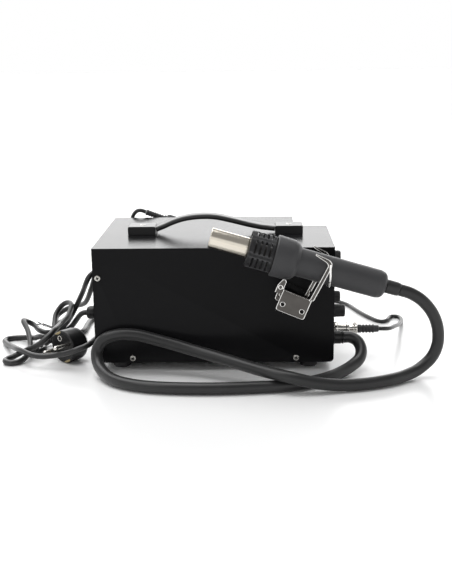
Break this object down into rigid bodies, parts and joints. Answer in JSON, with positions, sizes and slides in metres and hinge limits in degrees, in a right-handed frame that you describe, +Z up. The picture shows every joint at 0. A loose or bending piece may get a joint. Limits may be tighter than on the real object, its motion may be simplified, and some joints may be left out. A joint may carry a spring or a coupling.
{
  "type": "soldering iron station",
  "caption": "Bench rework station: a steel case with a hot-air gun and a soldering iron in chromed hangers, a corded mains plug, front knobs, a rocker switch and a carrying strap.",
  "frame": {"origin": "on the bench surface, under the middle of the footprint of the case, gun, iron and hangers", "axes": "+X out of the front control panel, +Z up, +Y from the side that holds the hot-air gun to the side that holds the iron"},
  "size_m": [0.4749, 0.3657, 0.1539],
  "materials": {
    "paint": "satin black powder coat",
    "panel": "matte dark grey coat",
    "steel": "plated",
    "chrome": "mirror chrome",
    "copper": "bare copper",
    "plastic": "fine texture",
    "black": "satin",
    "rubber": "satin",
    "board": "solder mask",
    "ceramic": "matte",
    "window": "gloss"
  },
  "bodies": {
    "station": {"top_cover": "paint", "cover_screw_1": "steel", "cover_screw_2": "steel", "cover_screw_3": "steel", "cover_screw_4": "steel", "cover_screw_5": "steel", "cover_screw_6": "steel", "cover_screw_7": "steel", "cover_screw_8": "steel", "base_tray": "panel", "front_panel": "panel", "rear_panel": "panel", "foot_1": "black", "foot_2": "black", "foot_3": "black", "foot_4": "black", "handle_block_rear": "black", "handle_block_front": "black", "handle_strap": "rubber", "control_board": "board", "main_board": "board", "hot_air_display": "window", "iron_display": "window", "switch_housing": "black", "iron_socket": "steel", "plug_shell": "steel", "plug_boot": "rubber", "hose_gland": "black", "mains_gland": "black", "transformer_core": "steel", "transformer_winding": "copper", "pump_body": "plastic", "air_tube": "ceramic", "gun_hanger": "chrome", "iron_hanger": "chrome", "mains_plug": "black", "plug_pin_1": "steel", "plug_pin_2": "steel", "air_hose": "rubber", "iron_cord": "black", "mains_cord": "black"},
    "hot_air_gun": {"gun_nozzle": "steel", "gun_heater": "ceramic", "gun_collar": "plastic", "gun_handle": "plastic", "hose_sleeve": "black"},
    "soldering_iron": {"iron_boot": "rubber", "iron_grip": "rubber", "iron_nut": "steel", "iron_barrel": "steel", "iron_tip": "copper"},
    "air_flow_control": {"air_flow_knob": "black", "air_flow_shaft": "steel"},
    "hot_air_heat_control": {"hot_air_heat_knob": "black", "hot_air_heat_shaft": "steel"},
    "iron_heat_control": {"iron_heat_knob": "black", "iron_heat_shaft": "steel"},
    "power_rocker": {"switch_rocker": "black"},
    "coupling_nut": {"plug_nut": "steel"},
    "pump_swing": {"pump_armature": "steel"}
  },
  "joints": [
    {"name": "gun_lift_off", "type": "slide", "parent": "station", "child": "hot_air_gun", "axis": [0.2773, 0, 0.9608], "range_m": [0, 0.045]},
    {"name": "iron_lift_off", "type": "slide", "parent": "station", "child": "soldering_iron", "axis": [0.342, 0, 0.9397], "range_m": [0, 0.045]},
    {"name": "air_flow_turn", "type": "hinge", "parent": "station", "child": "air_flow_control", "pos_m": [0.10932, 0.0098, 0.1], "axis": [1, 0, 0], "range_deg": [-150, 150]},
    {"name": "hot_air_heat_turn", "type": "hinge", "parent": "station", "child": "hot_air_heat_control", "pos_m": [0.10932, -0.0502, 0.0546], "axis": [1, 0, 0], "range_deg": [-150, 150]},
    {"name": "iron_heat_turn", "type": "hinge", "parent": "station", "child": "iron_heat_control", "pos_m": [0.10932, 0.0098, 0.0546], "axis": [1, 0, 0], "range_deg": [-150, 150]},
    {"name": "power_rock", "type": "hinge", "parent": "station", "child": "power_rocker", "pos_m": [0.09902, 0.0698, 0.052], "axis": [0, 1, 0], "range_deg": [-16, 0]},
    {"name": "coupling_nut_turn", "type": "hinge", "parent": "station", "child": "coupling_nut", "pos_m": [0.11482, -0.0302, 0.029], "axis": [1, 0, 0], "range_deg": [0, 720]},
    {"name": "pump_armature_swing", "type": "slide", "parent": "station", "child": "pump_swing", "axis": [1, 0, 0], "range_m": [-0.0015, 0.0015], "stiffness_N_per_m": 3000}
  ]
}
